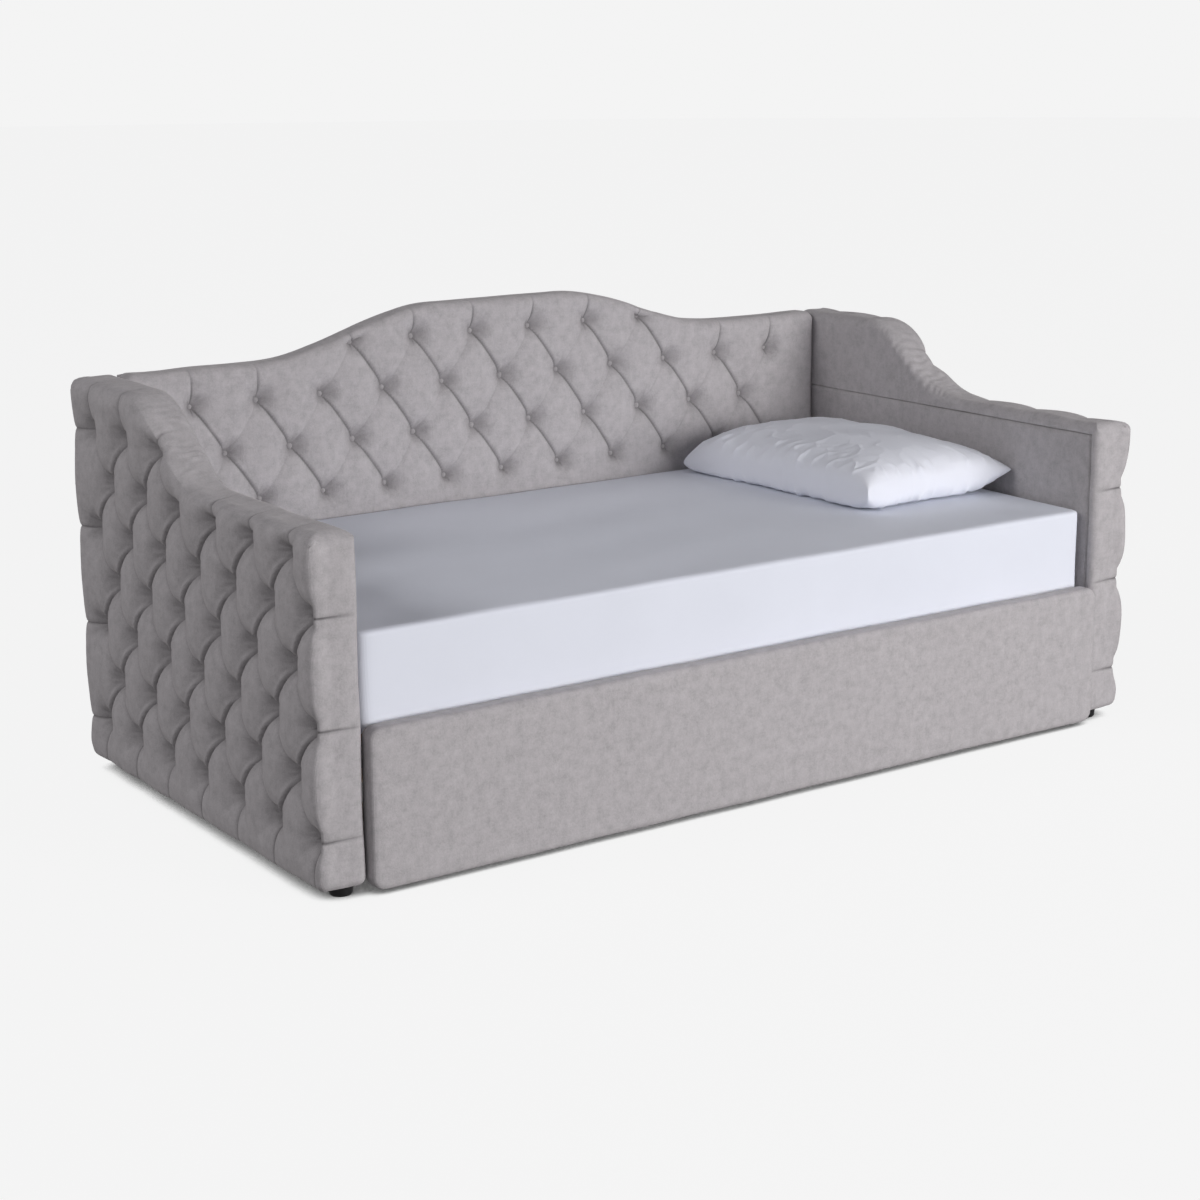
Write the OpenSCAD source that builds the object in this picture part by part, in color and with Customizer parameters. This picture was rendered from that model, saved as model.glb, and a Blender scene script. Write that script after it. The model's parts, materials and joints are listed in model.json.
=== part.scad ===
// Button-tufted daybed with a camel back, low sloping arms and a roll-out trundle.
// Frame: origin on the floor in the middle of the daybed, +X along its length,
// -Y is the open front, +Z up. Millimetres.

/* [Daybed] */
// Clear length between the two arms
inner_length = 1930; // [1930:10:1990]
// Thickness of one upholstered arm
arm_thickness = 102; // [96:2:120]
// Depth of an arm, front to rear
arm_depth = 1072; // [1064:4:1100]
// Height of an arm at the front
arm_low = 708; // [692:4:720]
// Height of an arm and of the back's shoulders
arm_high = 874; // [860:2:884]
// Height of the camel back's hump
back_peak = 976; // [960:2:1000]
// Height of the undersides of the arms
arm_bottom = 22; // [20:1:30]

/* [Tufting] */
// Distance between two buttons in a row of the back
back_pitch = 162.5; // [158:0.5:166]
// Distance between two rows of buttons of the back
back_row = 113; // [110:1:115]
// Distance between two buttons in a row of an arm
arm_pitch = 162; // [156:1:163]
// Distance between two rows of buttons of an arm
arm_row = 108; // [104:1:108]
// Diameter of a covered button
button_d = 22; // [18:1:24]

/* [Bedding] */
// Length of the mattress
mattress_l = 1905; // [1880:5:1920]
// Width of the mattress
mattress_w = 970; // [960:2:972]
// Height of the mattress
mattress_h = 205; // [180:5:220]
// Height of the deck that the mattress lies on
deck_z = 300; // [300:1:304]

/* [Trundle] */
// Length of the padded front
panel_length = 1922; // [1900:2:1924]
// Top of the padded front
panel_top = 330; // [324:1:334]
// Bottom of the padded front
panel_bottom = 10; // [8:1:14]
// How far the padded front stands out past the arms
panel_proud = 20; // [12:1:40]
// Diameter of a caster wheel
wheel_d = 40; // [36:1:40]

/* [Hidden] */
$fn = 64;

y_front = -(arm_depth + panel_proud) / 2 + panel_proud;
y_rear = y_front + arm_depth;
x_in = inner_length / 2;
x_out = x_in + arm_thickness;

// Arm build-up, from the inner face outwards
panel_t = 10;
frame_t = 40;
wall_t = 12;
rim_t = 8;
x_frame = x_in + panel_t;
x_foam = x_frame + frame_t;
x_cover = x_out - wall_t;

// The arm's top rises between these distances from its front
rise_start = 445;
rise_end = 805;
rise_skew = 1.25;
curve_steps = 16;
roll_seam_z = arm_low - 26;
roll_t = 30;

// Back build-up, from the rear forwards
back_board_t = 6;
back_frame_t = 28;
back_foam_t = 28;
back_cloth_t = 3;
y_back_rear = y_rear - 2;
y_back_frame = y_back_rear - back_board_t - back_frame_t;
y_back_face = y_back_frame - back_foam_t - back_cloth_t;
back_foam_bottom = deck_z - 12;
hump_start = 655;
hump_end = 170;

// Button grids; no button of the back is nearer to an arm than arm_gap
back_first_row = 903;
arm_gap = 120;
arm_first_row = 119;
arm_first_column = 22;
well_d = button_d + 8;

// Deck
slat_t = 18;
slat_w = 70;
slat_count = 14;
rail_w = 25;
rail_h = 40;
rail_wall = 1.5;
rail_z = deck_z - slat_t - rail_h;
plate_t = 6;
plate_h = 70;
bolt_r = 4;
nut_recess = 17;
nut_h = 13;
y_mattress = y_front + 30;
mattress_r = 22;
y_front_rail = y_mattress + 4;
y_back_rail = y_mattress + mattress_w - 44;

// Feet
foot_r = 25;
foot_inset = 42;
foot_x = x_foam - 14;

// Trundle
panel_t_total = 46;
panel_skin = 6;
panel_r = 26;
y_panel = y_front - panel_proud;
y_panel_rear = y_panel + panel_t_total;
front_board_t = 18;
trundle_half = 920;
trundle_rear = y_panel_rear + 916;
side_t = 18;
side_z = 46;
side_h = 94;
ledger_w = 46;
ledger_t = 20;
ledger_z = 54;
trundle_slat_t = 14;
trundle_slat_w = 70;
trundle_slats_n = 12;
wheel_w = 18;
axle_r = 3;
caster_x = 860;
caster_plate_t = 3;
caster_ys = [y_panel_rear + ledger_w / 2, trundle_rear - side_t - ledger_w / 2];

// ---------- helpers ----------

// A smooth step from 0 to 1
function ease(t) = (1 - cos(180 * max(0, min(1, t)))) / 2;

// Height of an arm's top at a distance from the arm's front: a long hollow rise and a tighter shoulder
function arm_top(d) =
    let (t = max(0, min(1, (d - rise_start) / (rise_end - rise_start))))
    arm_low + (arm_high - arm_low) * ease(pow(t, rise_skew));

// Height of the back's top at a distance from its middle
function back_top(x) = arm_high + (back_peak - arm_high) * ease((hump_start - abs(x)) / (hump_start - hump_end));

// Side outline of an arm, drawn in Y and Z, pulled in by an inset
module arm_outline(inset, bottom) {
    step = (rise_end - rise_start) / curve_steps;
    polygon(concat(
        [[y_front + inset, bottom], [y_rear - inset, bottom], [y_rear - inset, arm_high - inset]],
        [for (i = [curve_steps:-1:0])
            let (d = rise_start + i * step) [y_front + d, arm_top(d) - inset]],
        [[y_front + inset, arm_low - inset]]
    ));
}

// Front outline of the back, drawn in X and Z, pulled in by an inset
module back_outline(inset, bottom) {
    step = (hump_start - hump_end) / curve_steps;
    half = x_in - inset;
    rise = [for (i = [0:curve_steps]) let (x = hump_start - i * step) [x, back_top(x) - inset]];
    polygon(concat(
        [[-half, bottom], [half, bottom], [half, arm_high - inset]],
        rise,
        [for (i = [curve_steps:-1:0]) [-rise[i][0], rise[i][1]]],
        [[-half, arm_high - inset]]
    ));
}

// Extrudes an outline drawn in Y and Z along X
module along_x(x0, x1) {
    translate([x0, 0, 0]) rotate([90, 0, 90]) linear_extrude(x1 - x0) children();
}

// Extrudes an outline drawn in X and Z along Y
module along_y(y0, y1) {
    translate([0, y1, 0]) rotate([90, 0, 0]) linear_extrude(y1 - y0) children();
}

// A box between two corners
module block(low, high) {
    translate(low) cube(high - low);
}

// Mirrors the right-hand piece to the left when side is -1
module on_side(side) {
    mirror([side < 0 ? 1 : 0, 0, 0]) children();
}

// A rectangle with true round corners
module rounded_rectangle(x0, y0, x1, y1, r) {
    translate([x0 + r, y0]) square([x1 - x0 - 2 * r, y1 - y0]);
    translate([x0, y0 + r]) square([x1 - x0, y1 - y0 - 2 * r]);
    for (x = [x0 + r, x1 - r])
        for (y = [y0 + r, y1 - r])
            translate([x, y]) circle(r);
}

// One covered button standing on z = 0
module button() {
    cylinder(h = 4, r = button_d / 2);
    translate([0, 0, 4]) cylinder(h = 3, r1 = button_d / 2, r2 = button_d / 2 - 4);
}

// Places children at every button of an arm, in Y and Z
module at_arm_buttons() {
    for (row = [0:6])
        for (column = [0:6]) {
            d = arm_first_column + arm_pitch * (column + (row % 2) / 2);
            z = arm_first_row + arm_row * row;
            if (d < arm_depth - 30 && z < arm_top(d) - 30) translate([0, y_front + d, z]) children();
        }
}

// Places children at every button of the back, in X and Z
module at_back_buttons() {
    for (row = [0:3])
        for (column = [-6:6]) {
            x = back_pitch * (column + (row % 2 == 0 ? 0.5 : 0));
            z = back_first_row - back_row * row;
            if (abs(x) < x_in - arm_gap && z < back_top(x) - 22) translate([x, 0, z]) children();
        }
}

// ---------- back ----------

module back_frame() {
    post = 60;
    window_w = (2 * x_in - 5 * post) / 4;
    color("burlywood") difference() {
        along_y(y_back_frame, y_back_frame + back_frame_t) back_outline(roll_t, arm_bottom + 6);
        for (i = [0:3])
            for (level = [[90, 260], [330, 560], [620, 780]]) {
                x = -x_in + post + i * (window_w + post);
                block([x, y_back_frame - 1, level[0]], [x + window_w, y_back_rear, level[1]]);
            }
        for (side = [-1, 1])
            at_brackets() translate([side * (x_in - 24), y_back_frame - 1, 0])
                rotate([-90, 0, 0]) cylinder(h = 14, r = 2.1);
    }
}

module back_foam() {
    color("khaki") difference() {
        along_y(y_back_frame - back_foam_t, y_back_frame) back_outline(back_cloth_t, back_foam_bottom);
        at_back_buttons() translate([0, y_back_frame - back_foam_t - 1, 0])
            rotate([-90, 0, 0]) cylinder(h = back_foam_t + 2, r = well_d / 2);
    }
}

module back_cover() {
    color("rosybrown") difference() {
        along_y(y_back_face, y_back_rear - back_board_t) back_outline(0, back_foam_bottom);
        along_y(y_back_face + back_cloth_t, y_back_rear) back_outline(back_cloth_t, back_foam_bottom - 1);
        at_back_buttons() translate([0, y_back_face - 1, 0])
            rotate([-90, 0, 0]) cylinder(h = back_cloth_t + 2, r = well_d / 2);
    }
}

module back_outside_panel() {
    color("rosybrown") along_y(y_back_rear - back_board_t, y_back_rear) back_outline(0, arm_bottom + 6);
}

module back_buttons() {
    color("gray") at_back_buttons() translate([0, y_back_frame, 0]) rotate([90, 0, 0]) button();
}

// ---------- arms ----------

// The places of the two rail bolts of one rail end
module at_rail_bolts() {
    for (y = [y_front_rail + rail_w / 2, y_back_rail + rail_w / 2])
        for (z = [rail_z - 20, rail_z + rail_h / 2])
            translate([0, y, z]) children();
}

module arm_frame(side) {
    post = 70;
    mid = (y_front + y_rear) / 2;
    color("burlywood") on_side(side) difference() {
        along_x(x_frame, x_foam) arm_outline(roll_t, arm_bottom);
        for (span = [[y_front + roll_t + post, mid - post / 2], [mid + post / 2, y_rear - roll_t - post]])
            for (level = [[arm_bottom + 64, rail_z - 40], [rail_z + 70, arm_low - 110]])
                block([x_frame - 1, span[0], level[0]], [x_foam + 1, span[1], level[1]]);
        at_rail_bolts() translate([x_frame - 1, 0, 0]) rotate([0, 90, 0]) {
            cylinder(h = frame_t + 2, r = bolt_r + 0.4);
            translate([0, 0, frame_t + 1 - nut_recess]) cylinder(h = nut_recess + 1, r = 9);
        }
        at_foot() translate([0, 0, arm_bottom - 1]) cylinder(h = 54, r = 3.1);
    }
}

module arm_foam(side) {
    color("khaki") on_side(side) difference() {
        along_x(x_foam, x_cover) arm_outline(rim_t, arm_bottom + rim_t);
        at_arm_buttons() translate([x_cover - 30, 0, 0]) rotate([0, 90, 0])
            cylinder(h = 40, r = well_d / 2);
    }
}

module arm_cover(side) {
    color("rosybrown") on_side(side) difference() {
        union() {
            along_x(x_cover, x_out) arm_outline(0, arm_bottom);
            along_x(x_foam, x_cover) difference() {
                arm_outline(0, arm_bottom);
                arm_outline(rim_t, arm_bottom + rim_t);
            }
            block([x_in, y_front, arm_bottom + 6], [x_foam, y_front + rim_t, arm_low]);
            block([x_in, y_rear - rim_t, arm_bottom + 6], [x_foam, y_rear, arm_high]);
        }
        at_arm_buttons() translate([x_cover - 1, 0, 0]) rotate([0, 90, 0])
            cylinder(h = wall_t + 2, r = well_d / 2);
    }
}

module arm_top_roll(side) {
    color("rosybrown") on_side(side) difference() {
        along_x(x_in, x_foam) intersection() {
            arm_outline(0, arm_bottom);
            translate([y_front + rim_t, roll_seam_z]) square([arm_depth - 2 * rim_t, arm_high]);
        }
        along_x(x_frame, x_foam + 1) arm_outline(roll_t, arm_bottom);
    }
}

module arm_inner_panel(side) {
    color("rosybrown") on_side(side) difference() {
        block([x_in, y_front + rim_t, arm_bottom + 6], [x_frame, y_rear - rim_t, roll_seam_z]);
        at_rail_bolts() translate([x_in - 1, 0, 0]) rotate([0, 90, 0])
            cylinder(h = panel_t + 2, r = bolt_r + 0.4);
        at_brackets() translate([x_in - 1, y_back_frame - 20, 0]) rotate([0, 90, 0])
            cylinder(h = panel_t + 2, r = 2.1);
    }
}

module arm_buttons(side) {
    color("gray") on_side(side) at_arm_buttons() translate([x_cover - 30, 0, 0])
        rotate([0, 90, 0]) button();
}

// ---------- rails, deck and fixings ----------

// A steel tube rail with a bolting plate welded to each end
module rail(y) {
    color("dimgray") {
        difference() {
            block([-x_in + plate_t, y, rail_z], [x_in - plate_t, y + rail_w, rail_z + rail_h]);
            block([-x_in + plate_t - 1, y + rail_wall, rail_z + rail_wall],
                [x_in - plate_t + 1, y + rail_w - rail_wall, rail_z + rail_h - rail_wall]);
        }
        for (side = [-1, 1]) on_side(side) difference() {
            block([x_in - plate_t, y - 4, rail_z + rail_h - plate_h - 4],
                [x_in, y + rail_w + 4, rail_z + rail_h]);
            at_rail_bolts() translate([x_in - plate_t - 1, 0, 0]) rotate([0, 90, 0])
                cylinder(h = plate_t + 2, r = bolt_r + 0.4);
        }
    }
}

module front_rail() rail(y_front_rail);

module back_rail() rail(y_back_rail);

function slat_x(i, half, n, w) = -half + w / 2 + i * (2 * half - w) / (n - 1);

module deck_slats() {
    color("wheat") for (i = [0:slat_count - 1]) {
        x = slat_x(i, x_in - 30, slat_count, slat_w);
        block([x - slat_w / 2, y_front_rail, deck_z - slat_t],
            [x + slat_w / 2, y_back_rail + rail_w, deck_z]);
    }
}

// Two webbing straps that keep the slats at their spacing, stapled underneath
module slat_straps() {
    strap_w = 25;
    color("ivory") for (y = [y_front_rail + 240, y_back_rail - 240])
        block([-x_in + 32, y, deck_z - slat_t - 1.5], [x_in - 32, y + strap_w, deck_z - slat_t]);
}

// Socket-head bolts through the rail plates
module rail_bolts() {
    color("silver") for (side = [-1, 1]) on_side(side) at_rail_bolts()
        rotate([0, 90, 0]) {
            translate([0, 0, x_in - plate_t]) cylinder(h = 52, r = bolt_r);
            translate([0, 0, x_in - plate_t - 6]) difference() {
                cylinder(h = 6, r = 7);
                translate([0, 0, -1]) cylinder(h = 5, r = 3, $fn = 6);
            }
        }
}

// Flanged nuts let into the outer faces of the arm frames
module rail_nuts() {
    color("silver") for (side = [-1, 1]) on_side(side) at_rail_bolts()
        translate([x_foam - nut_h - 2, 0, 0]) rotate([0, 90, 0]) difference() {
            union() {
                cylinder(h = nut_h, r = 6);
                cylinder(h = 2, r = 8.5);
            }
            translate([0, 0, -1]) cylinder(h = nut_h + 2, r = bolt_r);
        }
}

// The heights of the brackets that tie the back to the arms
module at_brackets() {
    for (z = [120, 220]) translate([0, 0, z]) children();
}

module corner_brackets() {
    leg = 40;
    width = 30;
    thickness = 3;
    color("dimgray") for (side = [-1, 1]) on_side(side) at_brackets() difference() {
        translate([x_in - leg, y_back_frame - leg, -width / 2]) difference() {
            cube([leg, leg, width]);
            translate([-1, -1, -1]) cube([leg + 1 - thickness, leg + 1 - thickness, width + 2]);
        }
        translate([x_in - 24, y_back_frame - 10, 0]) rotate([-90, 0, 0]) cylinder(h = 12, r = 2.4);
        translate([x_in - 10, y_back_frame - 20, 0]) rotate([0, 90, 0]) cylinder(h = 12, r = 2.4);
    }
}

module bracket_screws() {
    color("silver") for (side = [-1, 1]) on_side(side) at_brackets() {
        translate([x_in - 24, y_back_frame, 0]) rotate([-90, 0, 0]) bracket_screw();
        translate([x_in, y_back_frame - 20, 0]) rotate([0, 90, 0]) bracket_screw();
    }
}

// ---------- feet ----------

// The two foot centres of the right arm
module at_foot() {
    for (y = [y_front + foot_inset, y_rear - foot_inset])
        translate([foot_x, y, 0]) children();
}

module foot(side, y) {
    color("black") on_side(side) translate([foot_x, y, 0]) difference() {
        union() {
            cylinder(h = 3, r1 = foot_r - 4, r2 = foot_r - 2);
            translate([0, 0, 3]) cylinder(h = arm_bottom - 3, r1 = foot_r - 2, r2 = foot_r);
        }
        translate([0, 0, -1]) cylinder(h = 60, r = 3.1);
        translate([0, 0, -1]) cylinder(h = 13, r = 8);
    }
}

module foot_screws() {
    color("silver") for (side = [-1, 1]) on_side(side) at_foot() {
        translate([0, 0, 12]) cylinder(h = 60, r = 3);
        translate([0, 0, 8]) cylinder(h = 4, r = 6.5);
    }
}

// ---------- bedding ----------

module mattress_block(inset, z0, z1) {
    translate([0, 0, z0]) linear_extrude(z1 - z0)
        rounded_rectangle(-mattress_l / 2 + inset, y_mattress + inset,
            mattress_l / 2 - inset, y_mattress + mattress_w - inset, mattress_r - inset);
}

module mattress() {
    color("white") mattress_block(2, deck_z, deck_z + mattress_h - 2);
}

module fitted_sheet() {
    color("aliceblue") difference() {
        mattress_block(0, deck_z + 2, deck_z + mattress_h);
        mattress_block(2, deck_z, deck_z + mattress_h - 2);
    }
}

module pillow() {
    corner = 14;
    low = [500, y_front + 262];
    high = [954, y_front + 962];
    middle = (low + high) / 2;
    top = deck_z + mattress_h + 0.5;
    color("white") hull() {
        for (x = [low[0] + corner, high[0] - corner])
            for (y = [low[1] + corner, high[1] - corner])
                translate([x, y, top + 52]) sphere(corner, $fn = 24);
        for (k = [[0.42, 0.42, 140], [0.62, 0.66, 118], [0.4, 0.42, 0], [0.8, 0.84, 90], [0.8, 0.84, 16]])
            translate([middle[0], middle[1], top + k[2]])
                linear_extrude(0.5) rounded_rectangle(
                    -k[0] * (high[0] - low[0]) / 2, -k[1] * (high[1] - low[1]) / 2,
                    k[0] * (high[0] - low[0]) / 2, k[1] * (high[1] - low[1]) / 2, 60, $fn = 32);
    }
}

// ---------- trundle ----------

module panel_outline(inset) {
    rounded_rectangle(-panel_length / 2 + inset, panel_bottom + inset,
        panel_length / 2 - inset, panel_top - inset, panel_r - inset);
}

module trundle_front_board() {
    color("burlywood") difference() {
        along_y(y_panel_rear - front_board_t, y_panel_rear) panel_outline(panel_skin);
        at_front_screws() translate([0, 0, -1]) cylinder(h = 13, r = 2.1);
    }
}

module trundle_front_foam() {
    color("khaki") along_y(y_panel + panel_skin, y_panel_rear - front_board_t) panel_outline(panel_skin);
}

module trundle_front_cover() {
    color("rosybrown") difference() {
        along_y(y_panel, y_panel_rear) panel_outline(0);
        along_y(y_panel + panel_skin, y_panel_rear + 1) panel_outline(panel_skin);
    }
}

module trundle_side(side) {
    color("burlywood") on_side(side) difference() {
        block([trundle_half, y_panel_rear, side_z], [trundle_half + side_t, trundle_rear, side_z + side_h]);
        at_rear_screws() cylinder(h = side_t + 2, r = 2.1);
        at_side_screws() translate([0, 0, -1]) cylinder(h = 13, r = 2.1);
    }
}

module trundle_back_board() {
    color("burlywood") difference() {
        block([-trundle_half, trundle_rear - side_t, side_z], [trundle_half, trundle_rear, side_z + side_h]);
        for (side = [-1, 1]) on_side(side) at_rear_screws()
            translate([0, 0, -30]) cylinder(h = 31, r = 2.1);
    }
}

module ledger(y0, y1) {
    color("wheat") block([-trundle_half, y0, ledger_z], [trundle_half, y1, ledger_z + ledger_t]);
}

module trundle_front_ledger() ledger(y_panel_rear, y_panel_rear + ledger_w);

module trundle_rear_ledger() ledger(trundle_rear - side_t - ledger_w, trundle_rear - side_t);

module trundle_centre_bearer() {
    middle = (y_panel_rear + trundle_rear) / 2;
    ledger(middle - ledger_w / 2, middle + ledger_w / 2);
}

module trundle_slats() {
    z = ledger_z + ledger_t;
    color("wheat") for (i = [0:trundle_slats_n - 1]) {
        x = slat_x(i, trundle_half - 20, trundle_slats_n, trundle_slat_w);
        block([x - trundle_slat_w / 2, y_panel_rear + 2, z],
            [x + trundle_slat_w / 2, trundle_rear - side_t - 2, z + trundle_slat_t]);
    }
}

// Places children at the forward-pointing screws of the two corner brackets
module at_front_screws() {
    for (side = [-1, 1])
        for (z = [104, 124])
            translate([side * (trundle_half - 18), y_panel_rear, z]) rotate([90, 0, 0]) children();
}

// Places children at a corner bracket's screws into the right-hand side board
module at_side_screws() {
    for (z = [104, 124])
        translate([trundle_half, y_panel_rear + 18, z]) rotate([0, 90, 0]) children();
}

// Steel angles that tie the side boards to the padded front
module trundle_corner_brackets() {
    leg = 30;
    thickness = 3;
    color("dimgray") difference() {
        for (side = [-1, 1]) on_side(side) difference() {
            block([trundle_half - leg, y_panel_rear, 94], [trundle_half, y_panel_rear + leg, 134]);
            block([trundle_half - leg - 1, y_panel_rear + thickness, 93],
                [trundle_half - thickness, y_panel_rear + leg + 1, 135]);
        }
        at_front_screws() translate([0, 0, -thickness - 1]) cylinder(h = thickness + 2, r = 2.4);
        for (side = [-1, 1]) on_side(side) at_side_screws()
            translate([0, 0, -thickness - 1]) cylinder(h = thickness + 2, r = 2.4);
    }
}

// Screws through a side board into the end of the back board
module at_rear_screws() {
    for (z = [70, 116])
        translate([trundle_half - 1, trundle_rear - side_t / 2, z]) rotate([0, 90, 0]) children();
}

// A short screw whose head lies on a 3 mm bracket
module bracket_screw() {
    translate([0, 0, -3]) cylinder(h = 12.5, r = 2);
    translate([0, 0, -5]) cylinder(h = 2, r = 4);
}

module trundle_screws() {
    color("silver") {
        at_front_screws() bracket_screw();
        for (side = [-1, 1]) on_side(side) {
            at_side_screws() bracket_screw();
            at_rear_screws() {
                translate([0, 0, -24]) cylinder(h = 24 + side_t + 1, r = 2);
                translate([0, 0, side_t + 1]) cylinder(h = 2, r = 4);
            }
        }
    }
}

// ---------- casters ----------

// The centre of one caster's wheel
module at_caster(side, row) {
    translate([side * caster_x, caster_ys[row], wheel_d / 2]) children();
}

module caster_housing(side, row) {
    cheek_x = wheel_w / 2 + 1.5;
    cheek_t = 2.5;
    top = ledger_z - wheel_d / 2;
    color("dimgray") at_caster(side, row) difference() {
        union() {
            block([-24, -ledger_w / 2 + 1, top - caster_plate_t], [24, ledger_w / 2 - 1, top]);
            for (s = [-1, 1]) on_side(s) {
                block([cheek_x, -13, 0], [cheek_x + cheek_t, 13, top - caster_plate_t]);
                translate([cheek_x, 0, 0]) rotate([0, 90, 0]) cylinder(h = cheek_t, r = 9);
            }
        }
        translate([-30, 0, 0]) rotate([0, 90, 0]) cylinder(h = 60, r = axle_r);
    }
}

module caster_axle(side, row) {
    reach = wheel_w / 2 + 4;
    color("silver") at_caster(side, row) rotate([0, 90, 0]) {
        translate([0, 0, -reach - 2]) cylinder(h = 2 * reach + 4, r = axle_r);
        for (end = [-reach - 3, reach]) translate([0, 0, end]) cylinder(h = 3, r = axle_r + 2);
    }
}

module caster_wheel(side, row) {
    color("black") at_caster(side, row) rotate([0, 90, 0]) difference() {
        union() {
            translate([0, 0, -wheel_w / 2 + 2]) cylinder(h = wheel_w - 4, r = wheel_d / 2);
            for (s = [0, 1]) mirror([0, 0, s]) translate([0, 0, wheel_w / 2 - 2])
                cylinder(h = 2, r1 = wheel_d / 2, r2 = wheel_d / 2 - 2);
        }
        translate([0, 0, -wheel_w]) cylinder(h = 2 * wheel_w, r = axle_r + 0.05);
        for (s = [0, 1]) mirror([0, 0, s]) translate([0, 0, wheel_w / 2 - 3]) difference() {
            cylinder(h = 4, r = wheel_d / 2 - 5);
            translate([0, 0, -1]) cylinder(h = 6, r = axle_r + 3);
        }
    }
}

// ---------- assembly ----------

back_frame();
back_foam();
back_cover();
back_outside_panel();
back_buttons();
arm_frame(-1);  // left_arm_frame
arm_foam(-1);  // left_arm_foam
arm_cover(-1);  // left_arm_cover
arm_top_roll(-1);  // left_arm_top_roll
arm_inner_panel(-1);  // left_arm_inner_panel
arm_buttons(-1);  // left_arm_buttons
arm_frame(1);  // right_arm_frame
arm_foam(1);  // right_arm_foam
arm_cover(1);  // right_arm_cover
arm_top_roll(1);  // right_arm_top_roll
arm_inner_panel(1);  // right_arm_inner_panel
arm_buttons(1);  // right_arm_buttons
front_rail();
back_rail();
deck_slats();
slat_straps();
rail_bolts();
rail_nuts();
corner_brackets();
bracket_screws();
foot(-1, y_front + foot_inset);  // front_left_foot
foot(1, y_front + foot_inset);  // front_right_foot
foot(-1, y_rear - foot_inset);  // rear_left_foot
foot(1, y_rear - foot_inset);  // rear_right_foot
foot_screws();
mattress();
fitted_sheet();
pillow();
trundle_front_board();
trundle_front_foam();
trundle_front_cover();
trundle_side(-1);  // trundle_left_side
trundle_side(1);  // trundle_right_side
trundle_back_board();
trundle_front_ledger();
trundle_rear_ledger();
trundle_centre_bearer();
trundle_slats();
trundle_corner_brackets();
trundle_screws();
caster_housing(-1, 0);  // front_left_caster_housing
caster_housing(1, 0);  // front_right_caster_housing
caster_housing(-1, 1);  // rear_left_caster_housing
caster_housing(1, 1);  // rear_right_caster_housing
caster_axle(-1, 0);  // front_left_caster_axle
caster_axle(1, 0);  // front_right_caster_axle
caster_axle(-1, 1);  // rear_left_caster_axle
caster_axle(1, 1);  // rear_right_caster_axle
caster_wheel(-1, 0);  // front_left_caster_wheel
caster_wheel(1, 0);  // front_right_caster_wheel
caster_wheel(-1, 1);  // rear_left_caster_wheel
caster_wheel(1, 1);  // rear_right_caster_wheel
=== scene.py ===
"""Studio scene of a button-tufted daybed: soft upholstery, bedding and a padded trundle front are
modelled over the CAD frame, and every kept CAD part gets its own procedural finish."""

import json
import math

import bpy
import numpy as np
from mathutils import Matrix, Vector


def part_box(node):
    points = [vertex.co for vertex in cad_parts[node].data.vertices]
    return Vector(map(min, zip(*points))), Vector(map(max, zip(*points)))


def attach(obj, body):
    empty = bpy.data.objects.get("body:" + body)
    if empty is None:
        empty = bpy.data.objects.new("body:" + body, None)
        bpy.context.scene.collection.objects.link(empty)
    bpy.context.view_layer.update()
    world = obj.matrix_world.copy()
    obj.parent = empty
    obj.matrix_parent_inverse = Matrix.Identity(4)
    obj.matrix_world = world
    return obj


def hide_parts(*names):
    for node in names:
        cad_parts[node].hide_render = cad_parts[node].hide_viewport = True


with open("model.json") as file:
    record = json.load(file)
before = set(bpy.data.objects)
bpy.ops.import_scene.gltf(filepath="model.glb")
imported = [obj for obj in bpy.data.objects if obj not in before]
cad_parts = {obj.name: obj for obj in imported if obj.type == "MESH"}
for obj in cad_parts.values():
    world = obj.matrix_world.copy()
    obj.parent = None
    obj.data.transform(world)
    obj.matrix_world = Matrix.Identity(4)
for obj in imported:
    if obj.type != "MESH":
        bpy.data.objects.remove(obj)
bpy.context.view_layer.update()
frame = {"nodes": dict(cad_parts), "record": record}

# ---------- sizes, in metres ----------

arm_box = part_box("right_arm_cover")
back_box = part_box("back_cover")
outside_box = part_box("back_outside_panel")
inner_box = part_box("right_arm_inner_panel")
panel_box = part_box("trundle_front_cover")
mattress_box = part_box("mattress")
sheet_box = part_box("fitted_sheet")
pillow_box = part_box("pillow")

X_IN = arm_box[0].x
X_OUT = arm_box[1].x
Y_FRONT = arm_box[0].y
Y_REAR = arm_box[1].y
ARM_BOTTOM = arm_box[0].z
ARM_HIGH = arm_box[1].z
SEAM_Z = inner_box[1].z
ROLL_ABOVE_SEAM = 0.026
ARM_LOW = SEAM_Z + ROLL_ABOVE_SEAM
BACK_PEAK = back_box[1].z
BACK_FACE = back_box[0].y

# an arm's top rises between these distances from its front, the back's hump between these from its middle
RISE_START = 0.445
RISE_END = 0.805
RISE_SKEW = 1.25
HUMP_START = 0.655
HUMP_END = 0.170

# button grids, the depth of their dimples, and how far the arms' cloth swells between them
PITCH = 0.162
BACK_PITCH = 0.1625
ARM_ROW = 0.108
BACK_ROW = 0.113
ARM_FIRST_ROW = 0.119
ARM_FIRST_COLUMN = 0.022
BACK_FIRST_ROW = 0.903
BACK_PLAIN_END = 0.120
BUTTON_R = 0.0080
ARM_BUTTON_DEPTH = 0.045
BACK_BUTTON_DEPTH = 0.030
PUFF = 0.009

ARM_CLOTH_STEP = 0.0039
BACK_CLOTH_STEP = 0.0041
UNEVEN = 0.0012

FLOOR_GLOW = 0.880
WALL_GLOW = 0.904
CAMERA_LENS = 69.4
CAMERA_YAW = 34.45
CAMERA_PITCH = 12.94
CAMERA_ROLL = -0.466


def ease(t):
    """Smooth step from 0 to 1"""
    return (1 - np.cos(np.pi * np.clip(t, 0, 1))) / 2


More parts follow.
